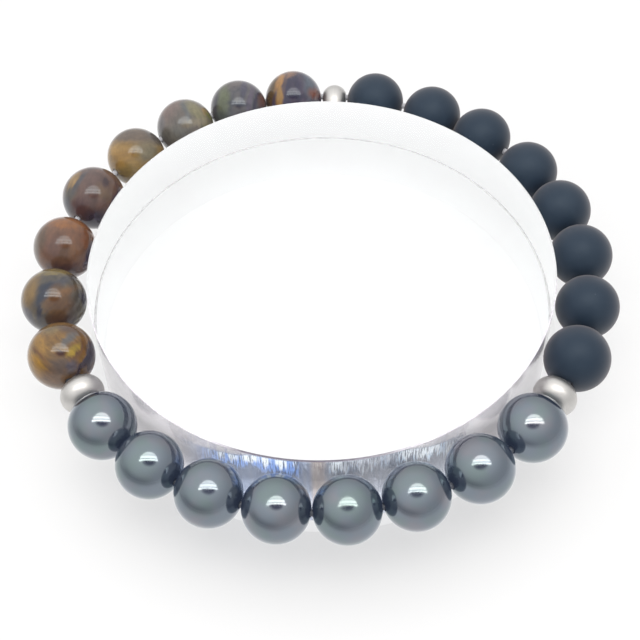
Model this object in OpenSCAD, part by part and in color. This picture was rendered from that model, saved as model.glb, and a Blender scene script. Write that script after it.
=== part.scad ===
/* [Beads] */
// Diameters of the round tiger eye beads, from the back spacer on
tiger_d = [8, 8, 8, 8, 8.4, 8.2, 8.3, 8.3]; // [7.5:0.1:8.5] each
// Diameters of the round hematite beads, from the left spacer on
hematite_d = [8.2, 8, 8, 8, 8, 8, 8.2, 8.3]; // [7.5:0.1:8.5] each
// Diameters of the round onyx beads, from the right spacer on
onyx_d = [8.2, 8, 8.1, 8.1, 8.1, 8.1, 8.1, 8]; // [7.5:0.1:8.5] each
// Diameter of the hole drilled through a bead
bead_hole_d = 1.2; // [1.2:0.1:1.6]
// Width of the chamfer at each mouth of that hole
bead_chamfer = 0.15; // [0.05:0.05:0.3]

/* [Spacers] */
// Diameter of a spacer across its rounded rim
spacer_d = 5.5; // [5:0.5:6]
// Thickness of a spacer along the thread
spacer_w = 3.5; // [3:0.1:4]
// Diameter of the hole through a spacer
spacer_hole_d = 3.2; // [3:0.1:3.4]
// How far a spacer lies inside the ring of the bead centres
spacer_inset = 0.5; // [0.4:0.05:0.65]
// How far a loose spacer drops below that ring
spacer_drop = 0.8; // [0.2:0.05:0.8]

/* [Thread] */
// Diameter of the clear elastic thread
thread_d = 0.8; // [0.5:0.1:0.8]
// Bare thread after each tiger eye bead but the last
tiger_gaps = [0.05, 0.3, 0.65, 1.05, 1.1, 0.7, 0.65]; // [0.05:0.05:2] each
// Bare thread after each hematite bead but the last
hematite_gaps = [0.05, 0.05, 0.05, 0.05, 0.05, 0.2, 0.35]; // [0.05:0.05:2] each
// Bare thread after each onyx bead but the last
onyx_gaps = [0.25, 0.45, 0.05, 0.05, 0.75, 0.05, 0.45]; // [0.05:0.05:2] each
// Bare thread on each side of the left, right and back spacers
spacer_gaps = [0.15, 0.1, 0.15]; // [0.1:0.05:1] each

/* [Bracelet on its stand] */
// Height of the bead centres above the surface it stands on
ring_z = 10; // [7:0.5:12]
// Sideways shift of the bracelet on its stand
ring_x = -0.2; // [-0.2:0.05:0.2]
// Direction of the first tiger eye bead, anticlockwise from +X
first_angle = 95.4; // [0:0.1:360]

/* [Stand] */
// Thickness of the clear disc
disc_h = 13.5; // [12:0.5:16]
// Room between the largest bead and the wall of the disc
disc_clearance = 0.2; // [0.2:0.05:0.6]
// Polished chamfer round both edges of the disc
disc_chamfer = 0.1; // [0.1:0.1:1]

/* [Hidden] */
$fn = 96;
run_count = 8;
last = run_count - 1;
// Length of thread from the first bead's centre of a run to the centre of its bead i
function bead_at(diameters, gaps, i) =
    i == 0 ? 0 : bead_at(diameters, gaps, i - 1) + (diameters[i - 1] + diameters[i]) / 2 + gaps[i - 1];
// Length of thread between a spacer's centre and the centre of a bead beside it
function spacer_reach(i, diameter) = spacer_w / 2 + spacer_gaps[i] + diameter / 2;
// Where each run and each spacer comes along the thread, from the first bead's centre
tiger_at = 0;
left_spacer_at = tiger_at + bead_at(tiger_d, tiger_gaps, last) + spacer_reach(0, tiger_d[last]);
hematite_at = left_spacer_at + spacer_reach(0, hematite_d[0]);
right_spacer_at = hematite_at + bead_at(hematite_d, hematite_gaps, last) + spacer_reach(1, hematite_d[last]);
onyx_at = right_spacer_at + spacer_reach(1, onyx_d[0]);
back_spacer_at = onyx_at + bead_at(onyx_d, onyx_gaps, last) + spacer_reach(2, onyx_d[last]);
loop_length = back_spacer_at + spacer_reach(2, tiger_d[0]);
ring_r = loop_length / (2 * PI);
largest_r = max(concat(tiger_d, hematite_d, onyx_d)) / 2;
// The thread bows through the straight holes, so it runs half of that bow outside the ring
thread_bow = sqrt(ring_r * ring_r + largest_r * largest_r) - ring_r;
thread_r = ring_r + thread_bow / 2;
rim_r = spacer_w / 2;
disc_r = ring_r - largest_r - disc_clearance;

// Direction of a point a given length along the thread
function angle_at(length) = first_angle + 360 * length / loop_length;

// Puts a piece on the ring with its own +Y along the thread
module on_ring(angle, inset = 0, drop = 0)
    translate([ring_x, 0, ring_z - drop])
        rotate([0, 0, angle])
            translate([ring_r - inset, 0, 0])
                children();

// A drilled round bead with its hole along Y
module drilled_bead(diameter) {
    bead_r = diameter / 2;
    hole_r = bead_hole_d / 2;
    mouth_r = hole_r + bead_chamfer;
    // Where the surface of the sphere meets the rim of the chamfer
    mouth_y = sqrt(bead_r * bead_r - mouth_r * mouth_r);
    rotate([90, 0, 0])
        difference() {
            sphere(r = bead_r);
            cylinder(h = diameter + 2, r = hole_r, center = true);
            for (side = [0, 1])
                mirror([0, 0, side])
                    translate([0, 0, mouth_y - bead_chamfer])
                        cylinder(h = 2 * bead_chamfer, r1 = hole_r, r2 = hole_r + 2 * bead_chamfer);
        }
}

module bead_on_ring(start, diameters, gaps, i)
    on_ring(angle_at(start + bead_at(diameters, gaps, i)))
        drilled_bead(diameters[i]);

// A ring with a fully rounded rim and a straight hole along Y
module spacer() {
    hole_r = spacer_hole_d / 2;
    rotate([90, 0, 0])
        rotate_extrude()
            intersection() {
                translate([spacer_d / 2 - rim_r, 0])
                    circle(r = rim_r);
                translate([hole_r, -spacer_w])
                    square([spacer_d, 2 * spacer_w]);
            }
}

module tiger_eye_bead(i)
    color([0.48, 0.33, 0.2])
        bead_on_ring(tiger_at, tiger_d, tiger_gaps, i);

module hematite_bead(i)
    color([0.42, 0.46, 0.47])
        bead_on_ring(hematite_at, hematite_d, hematite_gaps, i);

module onyx_bead(i)
    color([0.17, 0.2, 0.25])
        bead_on_ring(onyx_at, onyx_d, onyx_gaps, i);

module steel_spacer(i)
    color([0.82, 0.81, 0.79])
        on_ring(angle_at([back_spacer_at, left_spacer_at, right_spacer_at][i]), spacer_inset, spacer_drop)
            spacer();

// One closed loop of elastic, its knot hidden in a bead
module elastic_thread()
    color([0.92, 0.92, 0.94])
        translate([ring_x, 0, ring_z])
            rotate_extrude()
                translate([thread_r, 0])
                    circle(d = thread_d);

module display_disc()
    color([0.85, 0.92, 0.95, 0.4])
        rotate_extrude()
            polygon([
                [0, 0],
                [disc_r - disc_chamfer, 0],
                [disc_r, disc_chamfer],
                [disc_r, disc_h - disc_chamfer],
                [disc_r - disc_chamfer, disc_h],
                [0, disc_h]
            ]);

for (i = [0 : last]) {
    tiger_eye_bead(i);
    hematite_bead(i);
    onyx_bead(i);
}
for (i = [0 : 2])
    steel_spacer(i);
elastic_thread();
display_disc();
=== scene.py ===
import math

import bmesh
import bpy
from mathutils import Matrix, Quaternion, Vector


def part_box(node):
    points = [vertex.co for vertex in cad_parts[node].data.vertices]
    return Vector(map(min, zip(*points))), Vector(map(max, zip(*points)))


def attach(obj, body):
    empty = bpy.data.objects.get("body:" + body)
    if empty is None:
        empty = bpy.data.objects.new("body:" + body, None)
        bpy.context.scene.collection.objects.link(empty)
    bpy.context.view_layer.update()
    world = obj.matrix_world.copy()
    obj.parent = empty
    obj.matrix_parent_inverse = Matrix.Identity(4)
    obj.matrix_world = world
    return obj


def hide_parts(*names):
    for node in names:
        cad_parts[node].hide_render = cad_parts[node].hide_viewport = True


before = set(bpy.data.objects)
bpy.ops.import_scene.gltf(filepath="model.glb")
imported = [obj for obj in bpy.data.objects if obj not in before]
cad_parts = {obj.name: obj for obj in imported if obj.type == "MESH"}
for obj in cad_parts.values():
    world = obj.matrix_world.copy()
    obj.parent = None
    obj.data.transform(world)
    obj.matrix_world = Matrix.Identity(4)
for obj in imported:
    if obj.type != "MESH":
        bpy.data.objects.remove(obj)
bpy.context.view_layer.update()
mm = 0.001
body = "root"
stage = bpy.context.scene
stage.view_settings.view_transform = "Standard"


def middle(node):
    low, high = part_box(node)
    return (low + high) / 2


def placed(name, data):
    made = bpy.data.objects.new(name, data)
    stage.collection.objects.link(made)
    return made


ringCentre = middle("elastic_thread")


# Camera, at the photograph's angle to the bracelet
cameraSetup = {
    "place": (0, -109.45, 141.62),     # mm
    "lookAt": (-0.347, 1.201, 0),      # mm, on the floor
    "roll": -1.563,                    # degrees
    "lens": 75.07,                     # mm, for a sensor of 36 mm
    "sensor": 36,
    "clip": (0.001, 20),               # m, near and far
}


def makeCamera():
    lens = bpy.data.cameras.new("camera")
    lens.lens = cameraSetup["lens"]
    lens.sensor_width = cameraSetup["sensor"]
    lens.clip_start, lens.clip_end = cameraSetup["clip"]
    made = placed("camera", lens)
    made.location = Vector(cameraSetup["place"]) * mm
    aim = Vector(cameraSetup["lookAt"]) * mm - made.location
    level = aim.to_track_quat("-Z", "Y")
    made.rotation_mode = "QUATERNION"
    made.rotation_quaternion = level @ Quaternion((0, 0, 1), math.radians(cameraSetup["roll"]))
    stage.camera = made
    return made


camera = makeCamera()
cameraRight, cameraUp, cameraBack = (
    camera.rotation_quaternion @ Vector(axis) for axis in ((1, 0, 0), (0, 1, 0), (0, 0, 1))
)


def linear(red, green, blue):
    # A colour as a screen shows it, 0 to 255, turned into light
    def channel(value):
        share = value / 255
        return share / 12.92 if share <= 0.04045 else ((share + 0.055) / 1.055) ** 2.4
    return (channel(red), channel(green), channel(blue), 1)


def setSockets(tree, node, values):
    # Gives each socket, by name or number, a value or another node's output
    for name, value in values.items():
        if isinstance(value, bpy.types.NodeSocket):
            tree.links.new(value, node.inputs[name])
        else:
            node.inputs[name].default_value = value


def addNode(tree, kind, inputs=None, **settings):
    made = tree.nodes.new(kind)
    for name, value in settings.items():
        setattr(made, name, value)
    setSockets(tree, made, inputs or {})
    return made


def maths(tree, operation, *values, clamp=False):
    made = addNode(tree, "ShaderNodeMath", dict(enumerate(values)), operation=operation, use_clamp=clamp)
    return made.outputs[0]


def product(tree, first, *others):
    for value in others:
        first = maths(tree, "MULTIPLY", first, value)
    return first


def vectorMaths(tree, operation, *values):
    made = addNode(tree, "ShaderNodeVectorMath", dict(enumerate(values)), operation=operation)
    return made.outputs["Value" if operation in ("DOT_PRODUCT", "LENGTH", "DISTANCE") else "Vector"]


def scaled(tree, vector, factor):
    made = addNode(tree, "ShaderNodeVectorMath", {0: vector, "Scale": factor}, operation="SCALE")
    return made.outputs["Vector"]


def separate(tree, vector):
    return addNode(tree, "ShaderNodeSeparateXYZ", {0: vector}).outputs


def mixColour(tree, share, first, second):
    return addNode(tree, "ShaderNodeMix", {0: share, 6: first, 7: second}, data_type="RGBA").outputs[2]


def mixValue(tree, share, first, second):
    return addNode(tree, "ShaderNodeMix", {0: share, 2: first, 3: second}).outputs[0]


def mapRange(tree, value, fromLow, fromHigh, toLow=0, toHigh=1, kind="LINEAR"):
    return addNode(tree, "ShaderNodeMapRange", {
        "Value": value, "From Min": fromLow, "From Max": fromHigh, "To Min": toLow, "To Max": toHigh,
    }, interpolation_type=kind).outputs["Result"]


def eased(tree, value, fromLow, fromHigh, toLow=0, toHigh=1):
    # The same with soft ends
    return mapRange(tree, value, fromLow, fromHigh, toLow, toHigh, "SMOOTHSTEP")


def noise(tree, place, scale, detail, roughness=0.5, seed=None, swirl=0):
    inputs = {"Vector": place, "Scale": scale, "Detail": detail, "Roughness": roughness, "Distortion": swirl}
    if seed is None:
        return addNode(tree, "ShaderNodeTexNoise", inputs).outputs
    return addNode(tree, "ShaderNodeTexNoise", inputs | {"W": seed}, noise_dimensions="4D").outputs


def spots(tree, place, scale, solid, faded, seed):
    # Sparse random spots, solid up to one distance from their middle and gone at another
    inputs = {"Vector": place, "Scale": scale, "W": seed}
    cells = addNode(tree, "ShaderNodeTexVoronoi", inputs, voronoi_dimensions="4D")
    return eased(tree, cells.outputs["Distance"], solid, faded, 1, 0)


def bump(tree, height, strength, high):
    # high is in mm
    made = addNode(tree, "ShaderNodeBump", {"Height": height, "Strength": strength, "Distance": high * mm})
    return made.outputs["Normal"]


def followTable(tree, value, table):
    # What a short table of (place, amount) says at that place
    start, end = table[0][0], table[-1][0]
    most = max(amount for place, amount in table)
    ramp = addNode(tree, "ShaderNodeValToRGB", {0: mapRange(tree, value, start, end)})
    stops = ramp.color_ramp.elements
    stops[0].color = (table[0][1] / most,) * 3 + (1,)
    stops[-1].color = (table[-1][1] / most,) * 3 + (1,)
    for place, amount in table[1:-1]:
        stops.new((place - start) / (end - start)).color = (amount / most,) * 3 + (1,)
    return product(tree, ramp.outputs["Color"], most)


def plainMaterial(name):
    made = bpy.data.materials.new(name)
    made.use_nodes = True
    return made, made.node_tree


def newMaterial(name):
    # A material with a Principled BSDF, and the object's own coordinates in mm
    made, tree = plainMaterial(name)
    own = addNode(tree, "ShaderNodeTexCoord").outputs["Object"]
    return made, tree, tree.nodes["Principled BSDF"], scaled(tree, own, 1 / mm)


def newGroup(name, inputs, *outputs):
    # A shader node group: the sockets it takes, with their usual values, and the numbers it puts out
    group = bpy.data.node_groups.new(name, "ShaderNodeTree")
    for label, usual in inputs.items():
        kind = "NodeSocketVector" if isinstance(usual, tuple) else "NodeSocketFloat"
        group.interface.new_socket(label, in_out="INPUT", socket_type=kind).default_value = usual
    for label in outputs:
        group.interface.new_socket(label, in_out="OUTPUT", socket_type="NodeSocketFloat")
    return group, group.nodes.new("NodeGroupInput").outputs, group.nodes.new("NodeGroupOutput")


def addGroup(tree, group, inputs):
    made = tree.nodes.new("ShaderNodeGroup")
    made.node_tree = group
    setSockets(tree, made, inputs)
    return made.outputs


# Faint smears of handling on a polished face, and the ripple that polishing leaves
handlingLook = {
    "detail": 5.0,
    "roughness": 0.6,
    "swirl": 0.8,
    "smears": (0.42, 0.72),     # noise at a clean spot and a smeared one
    "ripple": (0.35, 1.0),      # its scale against the smears, and its detail
}


def makeHandlingGroup():
    group, given, out = newGroup("Handling", {
        "Vector": (0, 0, 0), "Size": 1, "Clean": 0.05, "Smeared": 0.12, "Seed": 0,
    }, "Roughness", "Ripple")
    smears = noise(group, given["Vector"], given["Size"], handlingLook["detail"], handlingLook["roughness"],
                   given["Seed"], handlingLook["swirl"])
    share = eased(group, smears["Fac"], *handlingLook["smears"])
    spread = maths(group, "SUBTRACT", given["Smeared"], given["Clean"])
    against, detail = handlingLook["ripple"]
    rippleScale = product(group, given["Size"], against)
    setSockets(group, out, {
        "Roughness": maths(group, "MULTIPLY_ADD", share, spread, given["Clean"]),
        "Ripple": noise(group, given["Vector"], rippleScale, detail, seed=given["Seed"])["Fac"],
    })
    return group


handlingGroup = makeHandlingGroup()


def handled(tree, own, look, seed):
    return addGroup(tree, handlingGroup, {
        "Vector": own, "Seed": seed,
        "Size": look["smears"], "Clean": look["clean"], "Smeared": look["smeared"],
    })


# The ring round a drilled hole where the polish ends, which also covers the bore; where its colour is paler,
# it is painted light that keeps the bore from showing dark
drillLook = {
    "inner": 0.55,          # mm from the axis, where the ring starts to fade
    "chips": (6.0, 3.0),    # scale and detail
    "ragged": 0.25,         # mm
    "rough": 0.3,           # added to the roughness of a polished stone
}


def makeDrillGroup():
    # 1 at the mouth, 0 past its reach
    group, given, out = newGroup("Drill mouth", {
        "Vector": (0, 0, 0), "Axis": (0, 1, 0), "Inner": 0.6, "Reach": 1,
    }, "Mask")
    along = vectorMaths(group, "DOT_PRODUCT", given["Vector"], given["Axis"])
    squared = vectorMaths(group, "DOT_PRODUCT", given["Vector"], given["Vector"])
    away = maths(group, "SQRT", maths(group, "SUBTRACT", squared, product(group, along, along)))
    chips = noise(group, given["Vector"], *drillLook["chips"])["Fac"]
    ragged = maths(group, "MULTIPLY_ADD", chips, drillLook["ragged"], away)
    setSockets(group, out, {"Mask": eased(group, ragged, given["Inner"], given["Reach"], 1, 0)})
    return group


drillGroup = makeDrillGroup()


def drilled(tree, own, axis, reach):
    # reach is in mm from the hole's axis
    return addGroup(tree, drillGroup, {
        "Vector": own, "Axis": axis, "Inner": drillLook["inner"], "Reach": reach,
    })["Mask"]


# Silky parallel fibres: noise drawn out along their direction, fine and broad
fibreLook = {
    "kinds": (("Fibre", 1, 4.0), ("Broad", 0.3, 2.0)),      # output, share of the scale, detail
    "roughness": 0.6,
}


def makeFibreGroup():
    group, given, out = newGroup("Silk fibres", {
        "Vector": (0, 0, 0), "Direction": (0, 0, 1), "Scale": 5, "Stretch": 0.9, "Seed": 0,
    }, *(label for label, share, detail in fibreLook["kinds"]))
    along = vectorMaths(group, "DOT_PRODUCT", given["Vector"], given["Direction"])
    taken = scaled(group, given["Direction"], product(group, along, given["Stretch"]))
    flat = vectorMaths(group, "SUBTRACT", given["Vector"], taken)
    for label, share, detail in fibreLook["kinds"]:
        scale = product(group, given["Scale"], share)
        fibres = noise(group, flat, scale, detail, fibreLook["roughness"], given["Seed"])
        setSockets(group, out, {label: fibres["Fac"]})
    return group


fibreGroup = makeFibreGroup()


def makeLayerGroup():
    # One patch of another colour on a bead: a layer or fleck inside the stone, and on some beads painted
    # shade and painted reflections
    group, given, out = newGroup("Stone layer and painted light", {
        "Vector": (0, 0, 0), "Centre": (0, 0, 0),
        "Across": (1, 0, 0), "Along": (0, 0, 0),    # directions, divided by the layer's half sizes
        "Softness": 0.4,
    }, "Mask")
    offset = vectorMaths(group, "SUBTRACT", given["Vector"], given["Centre"])
    across = vectorMaths(group, "DOT_PRODUCT", offset, given["Across"])
    along = vectorMaths(group, "DOT_PRODUCT", offset, given["Along"])
    squares = maths(group, "ADD", product(group, across, across), product(group, along, along))
    inner = maths(group, "SUBTRACT", 1.0, given["Softness"])
    outer = maths(group, "ADD", 1.0, given["Softness"])
    setSockets(group, out, {"Mask": eased(group, maths(group, "SQRT", squares), inner, outer, 1, 0)})
    return group


layerGroup = makeLayerGroup()


# Meshes turned on a lathe or drawn along a route
def bridge(build, ring, following):
    # Faces from one closed ring of points to the next
    faces = []
    for number in range(len(ring)):
        other = (number + 1) % len(ring)
        faces.append(build.faces.new((ring[number], ring[other], following[other], following[number])))
    return faces


def finished(name, build, sharpOver):
    # The mesh with its faces outwards, smooth apart from edges over that angle
    bmesh.ops.recalc_face_normals(build, faces=build.faces)
    for face in build.faces:
        face.smooth = True
    for edge in build.edges:
        edge.smooth = edge.calc_face_angle(0) < math.radians(sharpOver)
    mesh = bpy.data.meshes.new(name)
    build.to_mesh(mesh)
    build.free()
    return mesh


def turnedMesh(name, profile, steps, sharpOver=30):
    # profile is a closed loop of (distance from the axis, place along it) in mm, and the axis is +Y
    build = bmesh.new()
    rings = []
    for step in range(steps):
        angle = 2 * math.pi * step / steps
        rings.append([
            build.verts.new((away * math.cos(angle) * mm, along * mm, away * math.sin(angle) * mm))
            for away, along in profile
        ])
    for step, ring in enumerate(rings):
        bridge(build, ring, rings[(step + 1) % steps])
    return finished(name, build, sharpOver)


def arc(centre, radius, start, end, steps):
    # Points of an arc from one angle to another, in degrees from the outward direction
    points = []
    for step in range(steps + 1):
        angle = math.radians(start + (end - start) * step / steps)
        points.append((centre[0] + radius * math.cos(angle), centre[1] + radius * math.sin(angle)))
    return points


def addPiece(name, mesh, place, materials, slot, *nodes):
    # A finished piece at its place, standing for those nodes
    made = placed(name, mesh)
    made.location = place
    for material in materials:
        mesh.materials.append(material)
    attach(made, body)
    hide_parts(*nodes)
    return made


# Round beads, drilled along the thread
beadShape = {
    "run": 8,               # beads of each kind
    "hole": 0.5,            # radius, mm
    "chamfer": 0.08,        # mm
    "steps": 96,            # round the hole
    "arcs": 64,             # from mouth to mouth
}


def beadRadius(node):
    # The beads differ a little in size
    low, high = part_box(node)
    return (high.z - low.z) / 2 / mm


def beadProfile(radius):
    hole, chamfer = beadShape["hole"], beadShape["chamfer"]
    mouth = math.degrees(math.acos((hole + chamfer) / radius))
    mouthAt = radius * math.sin(math.radians(mouth))
    bore = [(hole, (mouthAt - chamfer) * share) for share in (1, 0.5, 0, -0.5, -1)]
    return arc((0, 0), radius, -mouth, mouth, beadShape["arcs"]) + bore


def tangentAngle(place):
    # How far a piece turns about +Z so that its hole follows the thread
    out = place - ringCentre
    return math.atan2(out.y, out.x)


def strungMesh(name, place, profile, steps):
    # A turned piece with its hole along the thread
    mesh = turnedMesh(name, profile, steps)
    mesh.transform(Quaternion((0, 0, 1), tangentAngle(place)).to_matrix().to_4x4())
    return mesh


def holeAxis(place):
    angle = tangentAngle(place)
    return (-math.sin(angle), math.cos(angle), 0)


# Hematite: gunmetal mirror
hematiteLook = {
    "colour": (0.150, 0.172, 0.192, 1),
    "rosy": (0.172, 0.174, 0.187, 1),
    "green": (0.143, 0.177, 0.174, 1),
    "clouds": (0.32, 2.0),                  # scale and detail of the rosy and green clouds
    "clouded": (0.45, 0.65),                # noise outside a cloud and inside it
    "bloom": (0.016, 0.021, 0.036, 1),      # painted glow: a faint bluish emission that lifts the dark parts of the bead
    "smears": 0.45,                         # scale
    "clean": 0.12,
    "smeared": 0.19,
    "ripple": (0.05, 0.02),                 # strength, and height in mm
    "drilled": (0.12, 0.13, 0.15, 1),
    "drilledReach": 0.85,                   # mm
    "pitted": (0.035, 0.038, 0.045, 1),
    "pits": (0.8, 0.022, 0.05),             # how close they lie, and their size from rim to rim of the shade
}


def hematite(name, axis, seed):
    made, tree, shader, own = newMaterial(name)
    handling = handled(tree, own, hematiteLook, seed)
    drill = drilled(tree, own, axis, hematiteLook["drilledReach"])
    shares = separate(tree, noise(tree, own, *hematiteLook["clouds"], seed=seed)["Color"])
    rosy = mapRange(tree, shares["X"], *hematiteLook["clouded"])
    green = mapRange(tree, shares["Y"], *hematiteLook["clouded"])
    tinted = mixColour(tree, rosy, hematiteLook["colour"], hematiteLook["rosy"])
    polished = mixColour(tree, green, tinted, hematiteLook["green"])
    pit = spots(tree, own, *hematiteLook["pits"], seed)
    colour = mixColour(tree, pit, polished, hematiteLook["pitted"])
    setSockets(tree, shader, {
        "Base Color": mixColour(tree, drill, colour, hematiteLook["drilled"]),
        "Metallic": 1.0,
        "Roughness": maths(tree, "MULTIPLY_ADD", drill, drillLook["rough"], handling["Roughness"]),
        # Painted glow: a faint emission lifts the dark parts of the bead, which is no lamp
        "Emission Color": hematiteLook["bloom"],
        "Emission Strength": 1.0,
        "Normal": bump(tree, handling["Ripple"], *hematiteLook["ripple"]),
    })
    return made


# Onyx: matte slate black
onyxLook = {
    "colour": (0.0092, 0.0185, 0.0335, 1),
    "worn": (0.0158, 0.0265, 0.0425, 1),
    "clouds": (0.35, 3.0),              # scale and detail of the worn clouds
    "clouded": (0.4, 0.7),              # noise outside a cloud and inside it
    "wornShare": 0.6,
    "wornRough": 0.06,
    "scuff": (0.07, 0.085, 0.105, 1),
    "scuffs": (0.75, 0.045, 0.075),     # how close they lie, and their size from rim to rim of the shade
    "scuffShare": 0.5,
    # paler bore and mouth: the dull unpolished ring, and painted light that keeps the bore from showing dark
    "drilled": (0.05, 0.06, 0.075, 1),
    "drilledReach": 0.9,                # mm
    "drilledShare": 0.6,
    "roughness": 0.5,
    "index": 1.5,
    "gloss": 0.28,
    "shine": (0.78, 0.9, 1, 1),
    "bloom": 0.20,                      # paler dust-like edge of the matte finish
    "bloomRough": 0.45,
    "bloomTint": (1, 0.88, 0.84, 1),
    "frost": (14.0, 4.0, 0.7),          # scale, detail and roughness of the etched grain
    "etched": (0.12, 0.02),             # strength, and height in mm
}


def onyx(name, axis, seed):
    made, tree, shader, own = newMaterial(name)
    drill = drilled(tree, own, axis, onyxLook["drilledReach"])
    clouds = noise(tree, own, *onyxLook["clouds"], seed=seed)["Fac"]
    cloudy = eased(tree, clouds, *onyxLook["clouded"])
    frost = noise(tree, own, *onyxLook["frost"])["Fac"]
    dot = spots(tree, own, *onyxLook["scuffs"], seed)
    worn = mixColour(tree, product(tree, cloudy, onyxLook["wornShare"]), onyxLook["colour"], onyxLook["worn"])
    scuffed = mixColour(tree, product(tree, dot, onyxLook["scuffShare"]), worn, onyxLook["scuff"])
    mouth = product(tree, drill, onyxLook["drilledShare"])
    setSockets(tree, shader, {
        "Base Color": mixColour(tree, mouth, scuffed, onyxLook["drilled"]),
        "Roughness": maths(tree, "MULTIPLY_ADD", cloudy, onyxLook["wornRough"], onyxLook["roughness"]),
        "IOR": onyxLook["index"],
        "Specular IOR Level": onyxLook["gloss"],
        "Specular Tint": onyxLook["shine"],
        "Sheen Weight": onyxLook["bloom"],
        "Sheen Roughness": onyxLook["bloomRough"],
        "Sheen Tint": onyxLook["bloomTint"],
        "Normal": bump(tree, frost, *onyxLook["etched"]),
    })
    return made
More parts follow.
